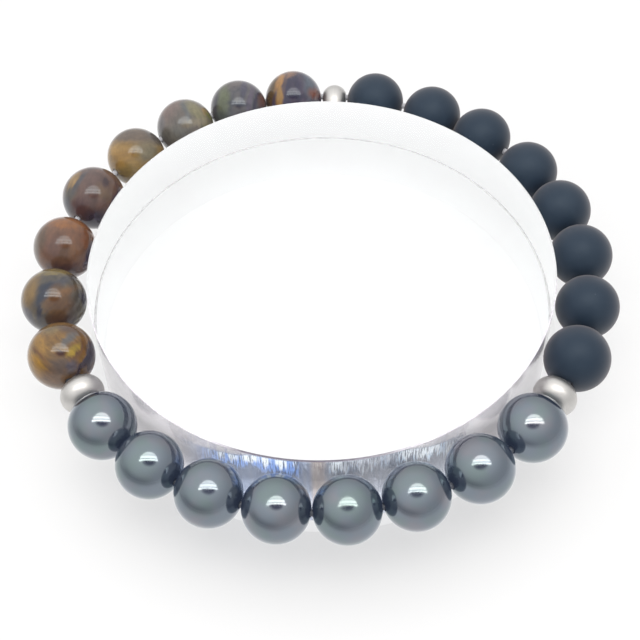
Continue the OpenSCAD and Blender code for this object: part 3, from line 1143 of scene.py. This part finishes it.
def acrylicEdge():
    # The narrow chamfers, painted dark in front as a reflection of the hematite
    made, tree, shader, own = newMaterial("clear acrylic edge")
    parts = separate(tree, own)
    inFront = maths(tree, "LESS_THAN", parts["Y"], 0.0)
    dark = product(tree, followTable(tree, parts["X"], discEdge["dark"]), inFront)
    behind = eased(tree, parts["Y"], *discEdge["backFrom"])
    nicks = noise(tree, own, *discEdge["nicks"])["Fac"]
    tone = mapRange(tree, nicks, *discEdge["nicked"], *discEdge["tone"])
    ahead = mixColour(tree, dark, discEdge["side"], discEdge["front"])
    setSockets(tree, shader, {
        "Base Color": scaled(tree, mixColour(tree, behind, ahead, discEdge["back"]), tone),
        "Roughness": mapRange(tree, nicks, *discEdge["roughFrom"], *discEdge["rough"]),
        "IOR": disc["index"],
        "Transmission Weight": discEdge["clear"],
        "Normal": bump(tree, nicks, *discEdge["ripple"]),
    })
    acrylicPasses(tree, shader, discEdge["passes"])
    return made


discPlace = middle("display_disc")
discPlace.z = discLow.z
discFinishes = [
    acrylicClear("clear acrylic face", disc["faceRipple"]),
    acrylicClear("clear acrylic wall", disc["wallRipple"]),
    acrylicFront(),
    acrylicEdge(),
]
addPiece("clear-disc", discMesh(), discPlace, discFinishes, "clear_acrylic", "display_disc")
print("disc: polished")


# Floor, light and the dark shapes that polished stone mirrors
studio = {
    "floorSize": 1.5,              # m, half a side
    "floorDrop": 0.02,             # mm under the disc
    "floorColour": (0.20, 0.20, 0.202),
    "floorRough": 0.9,
    "floorGloss": 0.1,
    "floorGlow": 0.665,            # as the camera sees it
    "floorLit": 0.24,              # what the lamps add to a glow
    "floorNear": 0.97,             # as polish mirrors it, close to the bracelet
    "floorFade": (42, 120),        # mm from the middle, where it gives way to the room's light
    "contactAt": 31,               # mm from the middle, where the bracelet shades the floor most
    "contactFlat": 2,              # mm on each side of that
    "contactReach": (16, 13.5),    # mm, outwards and inwards
    "contactShade": (-0.02, 0.12, 0.0, 0.14),    # outside behind and in front, inside in front and behind
    "contactTurn": (-0.35, -0.8, -0.3, 0.65),    # and where each lies, as the sine of its direction from +X
    "throughDisc": 0.085,          # how much brighter the floor is through the disc
    "underShade": 0.7,             # of the glow that lights the beads from below
    "roomLight": 0.92,             # low down and in front
    "skyLight": 0.7,               # more light towards the lamp
    "skyDirection": (-0.2, 0.1, 1),
    "horizonShade": 0.38,
    "horizonGone": 0.4,            # sine of the elevation where that shade ends
    "horizonFront": (0.1, -0.4),   # along Y, from none of it to all
    "horizonSide": (-0.4, 0.5),    # along X, from all of it to the part on the right
    "horizonRight": 0.1,
    "panelHeight": 310,            # mm
    "panelCentre": (10, -128),     # mm, the middle of its straight front edge
    # Near and far edge, radius and light of each
    "panels": ((0, 34, 184, 7.8), (50, 98, 168, 6.6), (108, 160, 162, 4.8)),
    "panelSteps": 24,
    "panelTint": (1, 0.97, 0.925, 1),
    "lensCentre": (0, 42),         # mm, across and up
    "lensSize": (84, 66),          # mm, half its width and its depth
    "lensSteps": 32,
    "lensSolid": 0.5,              # share of that before it fades out
    "lensGlow": (0.22, 0.20, 0.29, 1),
}


def makeHorizonGroup():
    # How much the far side of the room is darker in a direction: most in front on the left, not at all behind
    group, given, out = newGroup("Horizon shade", {
        "Direction": (0, -1, 0), "Right": studio["horizonRight"],
    }, "Shade")
    parts = separate(group, given["Direction"])
    front = eased(group, parts["Y"], *studio["horizonFront"])
    side = eased(group, parts["X"], *studio["horizonSide"], 1, given["Right"])
    setSockets(group, out, {"Shade": product(group, front, side)})
    return group


horizonGroup = makeHorizonGroup()


def flatPiece(name, corners, material):
    mesh = bpy.data.meshes.new(name)
    mesh.from_pydata([tuple(Vector(c) * mm) for c in corners], [], [tuple(range(len(corners)))])
    mesh.materials.append(material)
    made = placed(name, mesh)
    return made


def glow(name, strength, colour):
    made, tree = plainMaterial(name)
    tree.nodes.clear()
    light = addNode(tree, "ShaderNodeEmission", {"Color": colour, "Strength": strength})
    addNode(tree, "ShaderNodeOutputMaterial", {"Surface": light.outputs["Emission"]})
    return made


def halfDisc(nearEdge, farEdge, radius):
    # Outline of the slice of a half disc between two distances from its straight edge, seen from below
    steps = studio["panelSteps"]
    x, y = studio["panelCentre"]
    start = math.asin(nearEdge / radius)
    end = math.asin(min(1.0, farEdge / radius))
    angles = [start + (end - start) * step / steps for step in range(steps + 1)]
    outline = [(x + radius * math.cos(a), y + radius * math.sin(a)) for a in angles]
    outline += [(x - radius * math.cos(a), y + radius * math.sin(a)) for a in reversed(angles)]
    return [(px, py, studio["panelHeight"]) for px, py in reversed(outline)]


def mirroredFloor(tree, place, away):
    # What polish mirrors of the floor: bright close by, and like the room far away
    shade = addGroup(tree, horizonGroup, {"Direction": vectorMaths(tree, "NORMALIZE", place)})["Shade"]
    brightest = studio["roomLight"] - studio["floorLit"]
    darkest = studio["roomLight"] * (1 - studio["horizonShade"]) - studio["floorLit"]
    room = mapRange(tree, shade, 0, 1, brightest, darkest)
    near, far = (edge * mm for edge in studio["floorFade"])
    return eased(tree, away, near, far, studio["floorNear"], room)


def contactShade(tree, place, away):
    # A soft shade round and under the bracelet, and the ring where it lies
    start, flat = studio["contactAt"] * mm, studio["contactFlat"] * mm
    outwards, inwards = (reach * mm for reach in studio["contactReach"])
    outside = eased(tree, away, start + outwards, start + flat)
    inside = eased(tree, away, start - inwards, start - flat)
    outBehind, outFront, inFront, inBehind = studio["contactShade"]
    outFrom, outTo, inFrom, inTo = studio["contactTurn"]
    depth = maths(tree, "DIVIDE", separate(tree, place)["Y"], away)
    outShade = product(tree, outside, eased(tree, depth, outFrom, outTo, outBehind, outFront))
    inShade = product(tree, inside, eased(tree, depth, inFrom, inTo, inFront, inBehind))
    enclosed = maths(tree, "LESS_THAN", away, start)
    return mixValue(tree, enclosed, outShade, inShade), product(tree, outside, inside)


def makeFloor():
    made, tree = plainMaterial("floor")
    place = addNode(tree, "ShaderNodeTexCoord").outputs["Object"]
    away = vectorMaths(tree, "LENGTH", place)
    path = addNode(tree, "ShaderNodeLightPath").outputs
    shaded, ring = contactShade(tree, place, away)
    kept = maths(tree, "SUBTRACT", 1.0, shaded)
    under = product(tree, ring, product(tree, path["Is Diffuse Ray"], studio["underShade"]))
    through = product(tree, path["Is Transmission Ray"], studio["throughDisc"])
    seen = maths(tree, "SUBTRACT", maths(tree, "ADD", kept, through), under)
    shown = product(tree, seen, studio["floorGlow"])
    reflected = maths(tree, "SUBTRACT", path["Is Glossy Ray"], path["Is Transmission Ray"], clamp=True)
    setSockets(tree, tree.nodes["Principled BSDF"], {
        "Base Color": scaled(tree, studio["floorColour"], kept),
        "Roughness": studio["floorRough"],
        "Specular IOR Level": studio["floorGloss"],
        "Emission Color": (1, 1, 1, 1),
        "Emission Strength": mixValue(tree, reflected, shown, mirroredFloor(tree, place, away)),
    })
    side, drop = studio["floorSize"] / mm, -studio["floorDrop"]
    flatPiece("floor", [(x * side, y * side, drop) for x, y in ((-1, -1), (1, -1), (1, 1), (-1, 1))], made)


def makePanels():
    for number, (near, far, radius, strength) in enumerate(studio["panels"]):
        name = f"panel {number + 1}"
        made = flatPiece(name, halfDisc(near, far, radius), glow(name, strength, studio["panelTint"]))
        made.visible_camera = False
        made.visible_transmission = False


def makeLens():
    # The dark shape over the camera that mirror-polished beads show in their middle: half an oval
    across, up = studio["lensCentre"]
    wide, deep = studio["lensSize"]
    steps = studio["lensSteps"]
    centre = camera.location / mm + cameraRight * across + cameraUp * up
    corners = [
        centre + cameraRight * wide * math.cos(angle) - cameraUp * deep * math.sin(angle)
        for angle in (math.pi * step / steps for step in range(steps + 1))
    ]
    finish = glow("lens", 1.0, studio["lensGlow"])
    tree = finish.node_tree
    place = addNode(tree, "ShaderNodeTexCoord").outputs["Object"]
    offset = vectorMaths(tree, "SUBTRACT", place, tuple(centre * mm))
    sideways = vectorMaths(tree, "DOT_PRODUCT", offset, tuple(cameraRight / (wide * mm)))
    downwards = vectorMaths(tree, "DOT_PRODUCT", offset, tuple(cameraUp / (deep * mm)))
    squares = maths(tree, "ADD", product(tree, sideways, sideways), product(tree, downwards, downwards))
    mixed = addNode(tree, "ShaderNodeMixShader", {
        0: eased(tree, maths(tree, "SQRT", squares), studio["lensSolid"], 1),
        1: tree.nodes["Emission"].outputs["Emission"],
        2: addNode(tree, "ShaderNodeBsdfTransparent").outputs["BSDF"],
    })
    setSockets(tree, tree.nodes["Material Output"], {"Surface": mixed.outputs["Shader"]})
    made = flatPiece("lens", corners, finish)
    made.visible_camera = False
    made.visible_diffuse = False
    made.visible_shadow = False
    made.visible_transmission = False


def makeRoom():
    world = bpy.data.worlds.new("room")
    stage.world = world
    world.use_nodes = True
    tree = world.node_tree
    tree.nodes.clear()
    direction = addNode(tree, "ShaderNodeTexCoord").outputs["Generated"]
    lamp = Vector(studio["skyDirection"]).normalized()
    towards = vectorMaths(tree, "DOT_PRODUCT", direction, lamp)
    low = studio["roomLight"]
    sky = eased(tree, towards, 0, 1, low, low + studio["skyLight"])
    band = eased(tree, separate(tree, direction)["Z"], 0, studio["horizonGone"], studio["horizonShade"], 0)
    front = addGroup(tree, horizonGroup, {"Direction": direction})["Shade"]
    shade = maths(tree, "SUBTRACT", 1.0, product(tree, band, front))
    seen = addNode(tree, "ShaderNodeLightPath").outputs["Is Camera Ray"]
    background = addNode(tree, "ShaderNodeBackground", {
        "Color": (1, 1, 1, 1), "Strength": mixValue(tree, seen, product(tree, sky, shade), 1.0),
    })
    addNode(tree, "ShaderNodeOutputWorld", {"Surface": background.outputs["Background"]})


makeFloor()
makePanels()
makeLens()
makeRoom()
print("studio: floor, panels, lens and room light")
